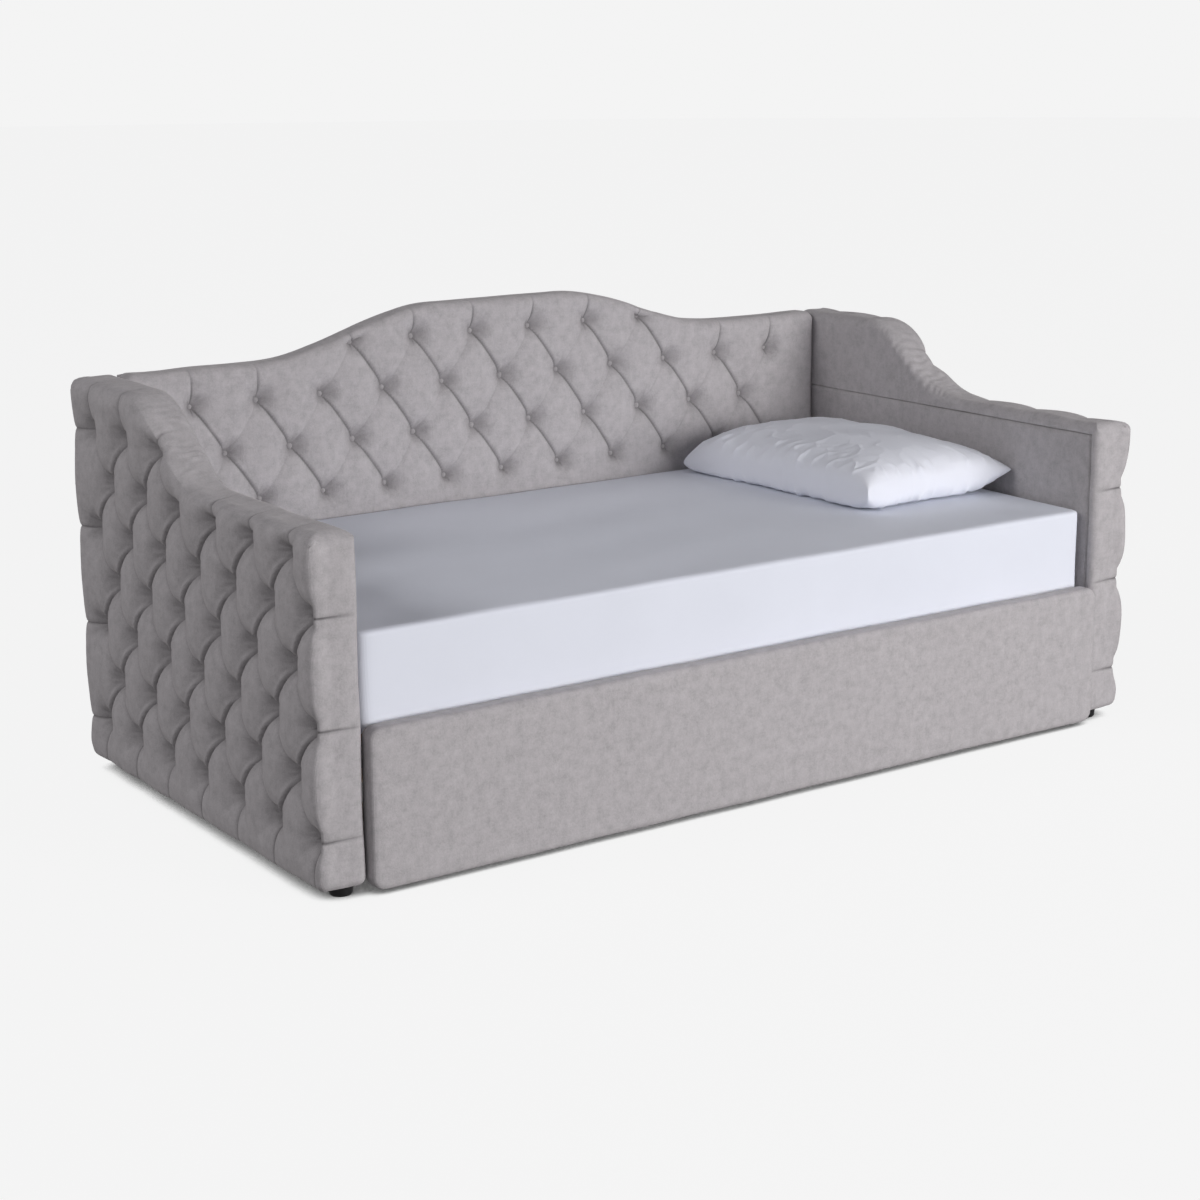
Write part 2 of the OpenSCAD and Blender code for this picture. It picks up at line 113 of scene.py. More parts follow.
def arm_top(y):
    """Height of an arm's top at a place along its depth"""
    share = np.clip((y - Y_FRONT - RISE_START) / (RISE_END - RISE_START), 0, 1)
    return ARM_LOW + (ARM_HIGH - ARM_LOW) * ease(share**RISE_SKEW)


def back_top(x):
    """Height of the camel back's top at a distance from the middle"""
    return ARM_HIGH + (BACK_PEAK - ARM_HIGH) * ease((HUMP_START - np.abs(x)) / (HUMP_START - HUMP_END))


# ---------- meshes ----------


def soft_noise(points, scale, seed):
    """Smooth noise between about -1 and 1, from a few crossed waves"""
    rng = np.random.default_rng(seed)
    total = np.zeros(len(points))
    for _ in range(7):
        direction = rng.normal(size=points.shape[1])
        direction /= np.linalg.norm(direction)
        length = scale * rng.uniform(0.6, 1.6)
        total += np.sin(points @ direction * 2 * np.pi / length + rng.uniform(0, 2 * np.pi))
    return total / 3.2


class Shell:
    """Collects patches of points that share edges and welds them into one surface"""

    def __init__(self):
        self.points = []
        self.cloth = []
        self.faces = []
        self.count = 0

    def patch(self, x, y, z, u, v, flip=False):
        """Adds a grid; u and v are the places on the flat cloth that each point comes from"""
        x, y, z, u, v = np.broadcast_arrays(x, y, z, u, v)
        rows, columns = x.shape
        index = np.arange(rows * columns).reshape(rows, columns) + self.count
        quads = [index[:-1, :-1], index[1:, :-1], index[1:, 1:], index[:-1, 1:]]
        if flip:
            quads.reverse()
        self.faces.append(np.stack(quads, axis=-1).reshape(-1, 4))
        self.points.append(np.stack([x, y, z], axis=-1).reshape(-1, 3))
        self.cloth.append(np.stack([u, v], axis=-1).reshape(-1, 2))
        self.count += rows * columns

    def weld(self):
        """Points, cloth places and faces, with the shared edges joined"""
        points = np.concatenate(self.points)
        cloth = np.concatenate(self.cloth)
        keys = np.round(points * 1e5).astype(np.int64)
        _, first, inverse = np.unique(keys, axis=0, return_index=True, return_inverse=True)
        faces = inverse.reshape(-1)[np.concatenate(self.faces)]
        a, b, c, d = faces.T
        distinct = (a != b) & (b != c) & (a != d)
        return points[first], cloth[first], faces[distinct]


def vertex_normals(points, faces):
    """Area-weighted normals of a mesh of quads"""
    normal = np.cross(points[faces[:, 2]] - points[faces[:, 0]], points[faces[:, 3]] - points[faces[:, 1]])
    total = np.zeros_like(points)
    for corner in range(4):
        for axis in range(3):
            total[:, axis] += np.bincount(faces[:, corner], normal[:, axis], len(points))
    return total / np.maximum(np.linalg.norm(total, axis=1, keepdims=True), 1e-12)


def rounded(points, low, high, radius):
    """Pulls a box's edges in to a radius; low and high may differ from point to point"""
    core = np.clip(points, low + radius, high - radius)
    reach = points - core
    length = np.maximum(np.linalg.norm(reach, axis=1, keepdims=True), 1e-9)
    return core + reach / length * np.minimum(radius, length)


def add_mesh(name, points, faces, material, painted_fold_shade=None):
    """A smooth-shaded object, with a painted shade value for each point that grows with how deep it lies in
    a fold
    """
    mesh = bpy.data.meshes.new(name)
    mesh.from_pydata(points.tolist(), [], faces if isinstance(faces, list) else faces.tolist())
    if painted_fold_shade is not None:
        layer = mesh.attributes.new("painted_fold_shade", "FLOAT", "POINT")
        layer.data.foreach_set("value", np.clip(painted_fold_shade, 0, 1).astype(np.float32))
    mesh.polygons.foreach_set("use_smooth", [True] * len(mesh.polygons))
    mesh.materials.append(material)
    obj = bpy.data.objects.new(name, mesh)
    bpy.context.scene.collection.objects.link(obj)
    return obj


# ---------- tufting ----------


class Crease:
    """A fold between two places on the cloth, from one depth at its start to another at its end"""

    pull_reach = 0.024
    run_out = 0.014
    core_width = 0.0032
    lip_place = 0.0052
    lip_width = 0.0032
    line_width = 0.0022
    full_dark_depth = 0.012

    def __init__(self, start, end, mid, start_depth, end_depth, narrow, wide, lip=0.0, fade=0.0):
        self.start = np.array(start)
        self.end = np.array(end)
        self.mid = mid
        self.start_depth = start_depth
        self.end_depth = end_depth
        self.narrow = narrow
        self.wide = wide
        self.lip = lip
        self.fade = fade

    def depth(self, u, v):
        """Depth, lip height and painted shade (a dark line along the crease) at places near the crease"""
        span = self.end - self.start
        length = np.hypot(*span)
        along_u, along_v = span / length
        t = (u - self.start[0]) * along_u + (v - self.start[1]) * along_v
        d = (v - self.start[1]) * along_u - (u - self.start[0]) * along_v
        part = np.clip(t / length, 0, 1)
        amount = self.mid + (self.start_depth - self.mid) * np.exp(-part * length / self.pull_reach)
        amount = amount + (self.end_depth - self.mid) * np.exp(-(1 - part) * length / self.pull_reach)
        amount = amount * (1 - self.fade * ease(part * 1.15 - 0.1))
        over = np.maximum(np.maximum(-t, t - length), 0)
        amount = amount * np.exp(-((over / self.run_out) ** 2))
        sharp = np.exp(-np.sqrt(d * d + 4e-7) / self.core_width)
        shape = self.narrow * sharp + (1 - self.narrow) * np.exp(-((np.abs(d) / self.wide) ** 1.2))
        ridge = self.lip * np.exp(-(((d - self.lip_place) / self.lip_width) ** 2))
        ridge = ridge * ease(part * 8) * ease((1 - part) * 5) * np.exp(-((over / 0.01) ** 2))
        # painted shade: a thin dark line along the crease, stronger where the crease is deep
        line = np.exp(-((d / self.line_width) ** 2)) * self.narrow * 2
        return amount * shape, ridge, line * np.minimum(amount / self.full_dark_depth, 1)


def tufted_depth(cloth, buttons, creases, button_depth, lean, seed):
    """Depth of the cloth below its padding's envelope, and the painted shade of its folds and dimples; each
    dimple is broader on the side that lean points to, and nothing goes deeper than a button"""
    u = cloth[:, 0]
    v = cloth[:, 1]
    power = 3.0
    limit_power = 6
    broad_radius = 0.024
    ray_height = 0.0016
    ray_place = 0.020
    ray_width = 0.011
    total = np.zeros(len(u))
    lips = np.zeros(len(u))
    painted_fold_shade = np.zeros(len(u))
    margin = 0.09
    for crease in creases:
        low = np.minimum(crease.start, crease.end) - margin
        high = np.maximum(crease.start, crease.end) + margin
        near = np.nonzero((u > low[0]) & (u < high[0]) & (v > low[1]) & (v < high[1]))[0]
        depth, lip, dark = crease.depth(u[near], v[near])
        total[near] += depth**power
        lips[near] = np.maximum(lips[near], lip)
        painted_fold_shade[near] = np.maximum(painted_fold_shade[near], dark)
    rng = np.random.default_rng(seed)
    for place in buttons:
        phase = rng.uniform(0, 2 * np.pi)
        count = rng.integers(9, 13)
        near = np.nonzero((np.abs(u - place[0]) < margin) & (np.abs(v - place[1]) < margin))[0]
        du = u[near] - place[0]
        dv = v[near] - place[1]
        distance = np.hypot(du, dv)
        dimple = np.exp(-np.maximum(0, distance - 0.003) / (0.52 * button_depth))
        total[near] += (button_depth * dimple) ** power
        broad = np.exp(-((np.hypot(du - lean[0], dv - lean[1]) / broad_radius) ** 1.7))
        total[near] += (0.66 * button_depth * broad) ** power
        angle = np.arctan2(dv, du)
        rays = np.cos(count * angle + phase) + 0.6 * np.cos((count + 4) * angle - 2 * phase)
        towards_lean = (du * lean[0] + dv * lean[1]) / (np.hypot(*lean) * np.maximum(distance, 1e-6))
        ring = np.exp(-(((distance - ray_place) / ray_width) ** 2))
        lips[near] += ray_height * (0.6 + 0.4 * towards_lean) * rays * ring
        # painted shade: darkest at each button, fading outwards
        painted_fold_shade[near] = np.maximum(painted_fold_shade[near], np.exp(-((distance / (0.42 * button_depth)) ** 1.5)))
    depth = total ** (1 / power)
    depth = depth / (1 + (depth / button_depth) ** limit_power) ** (1 / limit_power)
    # painted shade that grows with depth, standing in for the shadow deep in the dimples and creases
    shade = 0.62 * np.clip((depth - 0.004) / button_depth, 0, 1) ** 1.2
    return depth - lips, np.maximum(painted_fold_shade, shade)


def gather(cloth, creases, buttons):
    """How far each point slides along the cloth towards the nearest fold or button, where it bends most"""
    reach = 0.013
    run_in = 0.03
    button_reach = 0.030
    nearest = np.full(len(cloth), reach)
    slide = np.zeros_like(cloth)
    for crease in creases:
        span = crease.end - crease.start
        length = np.hypot(*span)
        along = span / length
        offset = cloth - crease.start
        t = offset @ along
        d = offset[:, 1] * along[0] - offset[:, 0] * along[1]
        near = np.nonzero((t > 0) & (t < length) & (np.abs(d) < nearest))[0]
        nearest[near] = np.abs(d[near])
        share = np.minimum(np.minimum(t[near], length - t[near]) / run_in, 1)
        move = (np.sign(d[near]) * reach * (np.abs(d[near]) / reach) ** 1.6 - d[near]) * share
        slide[near] = move[:, None] * np.array([-along[1], along[0]])
    for place in buttons:
        offset = cloth - np.array(place)
        distance = np.hypot(offset[:, 0], offset[:, 1])
        near = np.nonzero((distance < button_reach) & (distance > 1e-6))[0]
        pull = (distance[near] / button_reach) ** 0.6 - 1
        slide[near] += offset[near] * pull[:, None]
    return slide


def arm_buttons():
    """Places of an arm's buttons: distance from the front, and height"""
    places = []
    for row in range(7):
        for column in range(7):
            d = ARM_FIRST_COLUMN + PITCH * (column + (row % 2) / 2)
            z = ARM_FIRST_ROW + ARM_ROW * row
            if d < Y_REAR - Y_FRONT - 0.030 and z < arm_top(Y_FRONT + d) - 0.030:
                places.append((row, d, z))
    return places


def back_buttons():
    """Places of the back's buttons: X and height"""
    places = []
    for row in range(4):
        for column in range(-6, 7):
            x = BACK_PITCH * (column + (0.5 if row % 2 == 0 else 0))
            z = BACK_FIRST_ROW - BACK_ROW * row
            if abs(x) < X_IN - BACK_PLAIN_END and z < back_top(x) - 0.022:
                places.append((row, x, z))
    return places


def has(places, u, v):
    """Whether a button lies at this place"""
    return any(abs(p[1] - u) < 0.01 and abs(p[2] - v) < 0.01 for p in places)


def arm_creases(places, rng):
    """The folds of an arm: diagonals between buttons, and pleats that run off over the edges"""
    creases = []
    deep = ARM_BUTTON_DEPTH - 0.004
    depth_of_arm = Y_REAR - Y_FRONT
    for row, d, z in places:
        start = (Y_FRONT + d, z)
        if has(places, d + PITCH / 2, z - ARM_ROW):
            end = (Y_FRONT + d + PITCH / 2, z - ARM_ROW)
            mid = 0.0185 * rng.uniform(0.85, 1.15)
            creases.append(Crease(start, end, mid, deep, deep, narrow=0.36, wide=0.036, lip=0.0038))
        if has(places, d - PITCH / 2, z - ARM_ROW):
            end = (Y_FRONT + d - PITCH / 2, z - ARM_ROW)
            mid = 0.0125 * rng.uniform(0.8, 1.2)
            creases.append(Crease(start, end, mid, deep, deep, narrow=0.20, wide=0.036, lip=0.0012))
        if row == 0:
            end = (Y_FRONT + d, ARM_BOTTOM - 0.03)
            creases.append(Crease(start, end, 0.013, deep, 0.008, narrow=0.45, wide=0.034, fade=0.3))
        above = [has(places, d + s * PITCH / 2, z + ARM_ROW) for s in (-1, 1)]
        if not any(above):
            end = (start[0] + 0.004, float(arm_top(start[0])) + 0.070)
            creases.append(Crease(start, end, 0.017, deep, 0.004, narrow=0.35, wide=0.034, fade=0.70))
        if d < 0.05:
            end = (Y_FRONT - 0.085, z)
            creases.append(Crease(start, end, 0.0070, deep, 0.005, narrow=0.70, wide=0.030, fade=0.25))
        if depth_of_arm - d < 0.10:
            end = (Y_REAR + 0.060, z - 0.004)
            creases.append(Crease(start, end, 0.014, deep, 0.004, narrow=0.40, wide=0.042, fade=0.6))
    return creases


def back_creases(places, rng):
    """The folds of the back: sharp diagonals one way, shallow ones the other, pleats over the top"""
    creases = []
    deep = BACK_BUTTON_DEPTH - 0.004
    for row, x, z in places:
        if has(places, x + BACK_PITCH / 2, z - BACK_ROW):
            end = (x + BACK_PITCH / 2, z - BACK_ROW)
            mid = 0.0095 * rng.uniform(0.85, 1.15)
            creases.append(Crease((x, z), end, mid, deep, deep, narrow=0.45, wide=0.028, lip=0.0020))
        if has(places, x - BACK_PITCH / 2, z - BACK_ROW):
            end = (x - BACK_PITCH / 2, z - BACK_ROW)
            mid = 0.0040 * rng.uniform(0.5, 1.3)
            creases.append(Crease((x, z), end, mid, deep, deep, narrow=0.12, wide=0.030))
        above = [has(places, x + s * BACK_PITCH / 2, z + BACK_ROW) for s in (-1, 1)]
        if not any(above):
            end = (x + 0.006 * np.sign(x), float(back_top(x)) + 0.030)
            creases.append(Crease((x, z), end, 0.0085, deep, 0.003, narrow=0.45, wide=0.030, fade=0.5))
    return creases


def add_buttons(name, places, axis, material):
    """Covered buttons, each a soft dome with a tucked rim; axis points out of the cloth"""
    rings = [(0.0, 0.0035), (0.35, 0.0032), (0.65, 0.0020), (0.88, 0.0), (1.0, -0.0022), (0.97, -0.0045)]
    around = 20
    points = []
    faces = []
    side = Vector((0, 0, 1)).cross(axis).normalized()
    up = axis.cross(side)
    for place in places:
        base = len(points)
        points.append(place + axis * rings[0][1])
        for share, height in rings[1:]:
            for k in range(around):
                angle = 2 * math.pi * k / around
                points.append(place + axis * height
                              + (side * math.cos(angle) + up * math.sin(angle)) * BUTTON_R * share)
        for k in range(around):
            after = (k + 1) % around
            faces.append([base, base + 1 + k, base + 1 + after])
            for ring in range(len(rings) - 2):
                low = base + 1 + ring * around
                faces.append([low + k, low + around + k, low + around + after, low + after])
        faces.append([base + 1 + (len(rings) - 2) * around + k for k in reversed(range(around))])
    # painted shade: every button gets a fixed fold value of 0.35, darkening it as if shaded in its dimple
    return add_mesh(name, np.array([list(p) for p in points]), faces, material,
                    np.full(len(points), 0.35))


# ---------- upholstery ----------


def lines(low, high, step):
    """Evenly spaced grid lines from low to high"""
    return np.linspace(low, high, max(2, int(round((high - low) / step)) + 1))


def arm_shell(step):
    """The arm's wrapped cover before tufting, for the right arm"""
    shell = Shell()
    xs = lines(X_IN, X_OUT, step)
    ys = lines(Y_FRONT, Y_REAR, step)
    lower = lines(ARM_BOTTOM, SEAM_Z, step)
    upper = np.linspace(0, 1, 37)
    strip = ys[ys < Y_FRONT + 0.022]

    def heights(y):
        y = np.asarray(y, dtype=float)
        top = arm_top(y)[..., None]
        return np.concatenate([np.broadcast_to(lower, y.shape + lower.shape),
                               SEAM_Z + (top - SEAM_Z) * upper[1:]], axis=-1)

    y_grid = ys[:, None]
    z_grid = heights(ys)
    shell.patch(X_OUT, y_grid, z_grid, y_grid, z_grid)
    x_grid = xs[:, None]
    front_z = heights(Y_FRONT)[None, :]
    rear_z = heights(Y_REAR)[None, :]
    shell.patch(x_grid, Y_FRONT, front_z, Y_FRONT - (X_OUT - x_grid), front_z)
    shell.patch(x_grid, Y_REAR, rear_z, Y_REAR + (X_OUT - x_grid), rear_z, flip=True)
    top_z = arm_top(ys)[None, :]
    y_row = ys[None, :]
    shell.patch(x_grid, y_row, top_z, y_row, top_z + (X_OUT - x_grid))
    shell.patch(x_grid, y_row, ARM_BOTTOM, y_row, ARM_BOTTOM - (X_OUT - x_grid), flip=True)
    roll_z = SEAM_Z + (arm_top(ys)[:, None] - SEAM_Z) * upper[None, :]
    over = arm_top(ys)[:, None] * 2 + (X_OUT - X_IN) - roll_z
    shell.patch(X_IN, y_grid, roll_z, y_grid, over, flip=True)
    strip_y = strip[:, None]
    strip_z = lower[None, :]
    strip_over = Y_FRONT - (X_OUT - X_IN) - (strip_y - Y_FRONT)
    shell.patch(X_IN, strip_y, strip_z, strip_over, strip_z, flip=True)
    return shell


def round_roll(points, low, high):
    """Rounds an arm's edges: widely over its outer and front top edges, tightly down its corners"""
    far = 9.0
    outer_top = 0.042
    inner_top = 0.024
    front_top = 0.032
    corner = 0.017
    top = high[:, 2]
    side = np.full(len(points), far)
    open_top = np.stack([side, side, top], axis=1)
    outer_high = np.stack([high[:, 0], side, top], axis=1)
    outer = rounded(points, np.array([-far, -far, -far]), outer_high, outer_top)
    inner = rounded(outer, np.array([low[0], -far, -far]), open_top, inner_top)
    front = rounded(inner, np.array([-far, low[1], -far]), open_top, front_top)
    return rounded(front, low, high, corner)


def slope_ribs(points, seed):
    """Fine ribs that the cloth makes where an arm's top rises"""
    slope_middle = 0.62
    slope_reach = 0.13
    spacing = 0.019
    height = 0.0009
    slope = np.exp(-(((points[:, 1] - Y_FRONT - slope_middle) / slope_reach) ** 2))
    slope = slope * (points[:, 0] < X_OUT - 0.02)
    ribs = np.sin(points[:, 1] * 2 * np.pi / spacing + 2.5 * soft_noise(points, 0.08, seed + 2))
    return height * slope * ribs * (1 + soft_noise(points, 0.05, seed + 3))


def arm_upholstery(side, material, seed):
    """One arm's tufted cover and foam"""
    points, cloth, faces = arm_shell(ARM_CLOTH_STEP).weld()
    rng = np.random.default_rng(seed)
    places = arm_buttons()
    creases = arm_creases(places, rng)
    spots = [(Y_FRONT + d, z) for _, d, z in places]
    on_top = points[:, 2] > arm_top(points[:, 1]) - 1e-5
    slide = gather(cloth, creases, spots)
    cloth = cloth + slide
    points[:, 1:] += slide * (points[:, :1] > X_IN + 0.01)
    top = arm_top(points[:, 1])
    points[:, 2] = np.where(on_top, top, np.minimum(points[:, 2], top))
    high = np.stack([np.full(len(points), X_OUT), np.full(len(points), Y_REAR), top], axis=1)
    low = np.array([X_IN, Y_FRONT, ARM_BOTTOM])
    base = round_roll(points, low, high)
    normals = vertex_normals(base, faces)
    depth, painted_fold_shade = tufted_depth(cloth, spots, creases, ARM_BUTTON_DEPTH, (0.010, 0.009), seed)
    outside = np.clip((points[:, 0] - X_OUT + 0.04) / 0.04, 0, 1)
    tucked = ease((points[:, 2] - ARM_BOTTOM + 0.002) / 0.050)
    depth = depth * (0.25 + 0.75 * tucked) - PUFF * outside * tucked
    depth = depth + UNEVEN * soft_noise(points, 0.12, seed + 1)
    depth = depth + slope_ribs(points, seed)
    moved = base - normals * depth[:, None]
    moved[:, 0] *= side
    faces = faces[:, ::-1] if side < 0 else faces
    body = "right_arm" if side > 0 else "left_arm"
    obj = add_mesh(body + "_upholstery", moved, faces, material, painted_fold_shade)
    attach(obj, "daybed_frame")
    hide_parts(body + "_cover", body + "_foam", body + "_top_roll")
    centres = [Vector((side * (X_OUT + PUFF - ARM_BUTTON_DEPTH + 0.001), y, z)) for y, z in spots]
    knobs = add_buttons(body + "_covered_buttons", centres, Vector((side, 0, 0)), material)
    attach(knobs, "daybed_frame")
    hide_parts(body + "_buttons")


def back_upholstery(material, seed):
    """The tufted camel back's cover and foam"""
    rear = outside_box[0].y
    bottom = back_box[0].z
    end = X_IN - 0.001
    shell = Shell()
    xs = lines(-end, end, BACK_CLOTH_STEP)
    share = np.linspace(0, 1, 165)
    ys = lines(BACK_FACE, rear, BACK_CLOTH_STEP)
    x_grid = xs[:, None]
    top = back_top(xs)[:, None]
    z_grid = bottom + (top - bottom) * share[None, :]
    shell.patch(x_grid, BACK_FACE, z_grid, x_grid, z_grid)
    y_row = ys[None, :]
    shell.patch(x_grid, y_row, top, x_grid, top + (y_row - BACK_FACE))
    shell.patch(x_grid, y_row, bottom, x_grid, bottom - (y_row - BACK_FACE), flip=True)
    for x, flip in ((-end, True), (end, False)):
        z_line = bottom + (float(back_top(x)) - bottom) * share[None, :]
        shell.patch(x, ys[:, None], z_line, x + np.sign(x) * (ys[:, None] - BACK_FACE), z_line, flip=flip)
    points, cloth, faces = shell.weld()
    count = len(points)
    rng = np.random.default_rng(seed)
    places = back_buttons()
    creases = back_creases(places, rng)
    holes = [(x, z) for _, x, z in places]
    on_top = points[:, 2] > back_top(points[:, 0]) - 1e-5
    slide = gather(cloth, creases, holes)
    cloth = cloth + slide
    points[:, 0] += slide[:, 0]
    points[:, 2] += slide[:, 1]
    top = back_top(points[:, 0])
    points[:, 2] = np.where(on_top, top, np.minimum(points[:, 2], top))
    high = np.stack([np.full(count, end), np.full(count, rear + 0.03), top], axis=1)
    low = np.array([-end, BACK_FACE, bottom])
    base = rounded(points, low, high, 0.022)
    normals = vertex_normals(base, faces)
    depth, painted_fold_shade = tufted_depth(cloth, holes, creases, BACK_BUTTON_DEPTH, (0.010, 0.007), seed)
    depth = depth + UNEVEN * soft_noise(points, 0.16, seed + 1)
    moved = base - normals * depth[:, None]
    obj = add_mesh("back_upholstery", moved, faces, material, painted_fold_shade)
    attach(obj, "daybed_frame")
    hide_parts("back_cover", "back_foam")
    centres = [Vector((x, BACK_FACE + BACK_BUTTON_DEPTH - 0.001, z)) for x, z in holes]
    knobs = add_buttons("back_covered_buttons", centres, Vector((0, -1, 0)), material)
    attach(knobs, "daybed_frame")
    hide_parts("back_buttons")


def soft_box(low, high, step, outline, radius, axis, wave=0.0, seed=0, crown=0.0):
    """Points and faces of a padded slab: its outline across an axis has round corners, its two rims
    have a radius, its faces a slight unevenness and a crown"""
    shell = Shell()
    grid = [lines(low[k], high[k], step[k]) for k in range(3)]
    for across in range(3):
        a, b = [k for k in range(3) if k != across]
        for place, flip in ((low[across], across != 1), (high[across], across == 1)):
            where = [None, None, None]
            where[across] = place
            where[a] = grid[a][:, None]
            where[b] = grid[b][None, :]
            shell.patch(where[0], where[1], where[2], where[a], where[b], flip=flip)
    points, _, faces = shell.weld()
    low = np.array(low, dtype=float)
    high = np.array(high, dtype=float)
    plan = [k for k in range(3) if k != axis]
    core = np.clip(points[:, plan], low[plan] + outline, high[plan] - outline)
    reach = points[:, plan] - core
    length = np.maximum(np.linalg.norm(reach, axis=1), 1e-9)
    square = np.max(np.abs(reach), axis=1)
    outward = reach / length[:, None]
    side = np.clip(radius - outline + square, 0, radius)
    height = points[:, axis] - (low[axis] + high[axis]) / 2
    half = (high[axis] - low[axis]) / 2
    rise = np.clip(np.abs(height) - half + radius, 0, radius)
    bend = np.maximum(side, rise) / np.maximum(np.hypot(side, rise), 1e-9)
    bend = np.where((side > 0) & (rise > 0), bend, 1)
    shaped = points.copy()
    shaped[:, plan] = core + outward * (square - side * (1 - bend))[:, None]
    shaped[:, axis] -= np.sign(height) * rise * (1 - bend)
    normals = vertex_normals(shaped, faces)
    share = [np.clip((shaped[:, k] - low[k]) / (high[k] - low[k]), 0, 1) for k in plan]
    bulge = 16 * share[0] * (1 - share[0]) * share[1] * (1 - share[1])
    lift = wave * soft_noise(shaped, 0.30, seed) + crown * np.sqrt(np.maximum(bulge, 0))
    return shaped + normals * lift[:, None], faces


def arm_inner_panels(material):
    """The plain panels on the arms' inner faces, below the roll"""
    low, high = inner_box
    for side, name in ((1, "right_arm_inner_panel"), (-1, "left_arm_inner_panel")):
        points, faces = soft_box((low.x + 0.0005, Y_FRONT + 0.021, low.z),
                                 (high.x, high.y, high.z - 0.0015),
                                 (0.003, 0.012, 0.012), 0.004, 0.0028, 0, wave=0.0004, seed=11 + side)
        points[:, 0] *= side
        obj = add_mesh(name + "_cloth", points, faces[:, ::-1] if side < 0 else faces, material)
        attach(obj, "daybed_frame")
        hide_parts(name)


def back_outside(material):
    """The plain panel that closes the back's rear, a little below the back's top"""
    low, high = outside_box
    drop = 0.002
    shell = Shell()
    xs = lines(low.x, high.x, 0.012)
    share = np.linspace(0, 1, 70)
    ys = lines(low.y - 0.001, high.y + 0.002, 0.003)
    x_grid = xs[:, None]
    top = back_top(xs)[:, None] - drop
    z_grid = low.z + (top - low.z) * share[None, :]
    shell.patch(x_grid, ys[-1], z_grid, x_grid, z_grid, flip=True)
    shell.patch(x_grid, ys[0], z_grid, x_grid, z_grid)
    y_row = ys[None, :]
    shell.patch(x_grid, y_row, top, x_grid, top)
    shell.patch(x_grid, y_row, low.z, x_grid, y_row, flip=True)
    for x, flip in ((low.x, True), (high.x, False)):
        z_line = low.z + (float(back_top(x)) - drop - low.z) * share[None, :]
        shell.patch(x, ys[:, None], z_line, ys[:, None], z_line, flip=flip)
    points, _, faces = shell.weld()
    count = len(points)
    top = back_top(points[:, 0]) - drop
    box_high = np.stack([np.full(count, high.x), np.full(count, ys[-1]), top], axis=1)
    points = rounded(points, np.array([low.x, ys[0], low.z]), box_high, 0.004)
    points[:, 1] += UNEVEN * soft_noise(points, 0.25, 31) * (points[:, 1] > high.y - 0.002)
    obj = add_mesh("back_outside_cloth", points, faces, material)
    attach(obj, "daybed_frame")
    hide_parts("back_outside_panel")


def trundle_front(material):
    """The padded front of the trundle"""
    low, high = panel_box
    points, faces = soft_box((low.x, low.y, low.z), (high.x, high.y - 0.002, high.z), (0.006, 0.003, 0.006),
                             0.026, 0.011, 1, wave=0.0009, seed=5, crown=0.0035)
    obj = add_mesh("trundle_front_upholstery", points, faces, material)
    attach(obj, "trundle")
    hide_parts("trundle_front_cover", "trundle_front_foam")


# ---------- bedding ----------


def mattress_piece(material):
    """The mattress under its sheet"""
    low, high = mattress_box
    inset = Vector((0.001, 0.001, 0.0025))
    points, faces = soft_box(low + inset, high - inset, (0.02, 0.02, 0.012), 0.021, 0.010, 2,
                             wave=0.0004, seed=3)
    obj = add_mesh("mattress_padding", points, faces, material)
    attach(obj, "mattress")
    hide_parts("mattress")


def fitted_sheet_piece(material):
    """The fitted sheet, drawn tight over the mattress with its hem tucked underneath"""
    low, high = sheet_box
    hem = 0.045
    floor_z = mattress_box[0].z + 0.0012
    points, faces = soft_box((low.x, low.y, floor_z), (high.x, high.y, high.z), (0.010, 0.010, 0.004),
                             0.022, 0.010, 2, wave=0.0016, seed=17, crown=0.002)
    under = points[:, 2] < floor_z + 0.004
    inside = np.minimum(np.minimum(points[:, 0] - low.x, high.x - points[:, 0]),
                        np.minimum(points[:, 1] - low.y, high.y - points[:, 1])) > hem
    gone = under & inside
    faces = faces[~np.any(gone[faces], axis=1)]
    points, faces = compact(points, faces)
    obj = add_mesh("fitted_sheet_cloth", points, faces, material)
    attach(obj, "mattress")
    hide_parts("fitted_sheet")


def compact(points, faces):
    """Drops the points that no face uses"""
    used, inverse = np.unique(faces, return_inverse=True)
    return points[used], inverse.reshape(faces.shape)


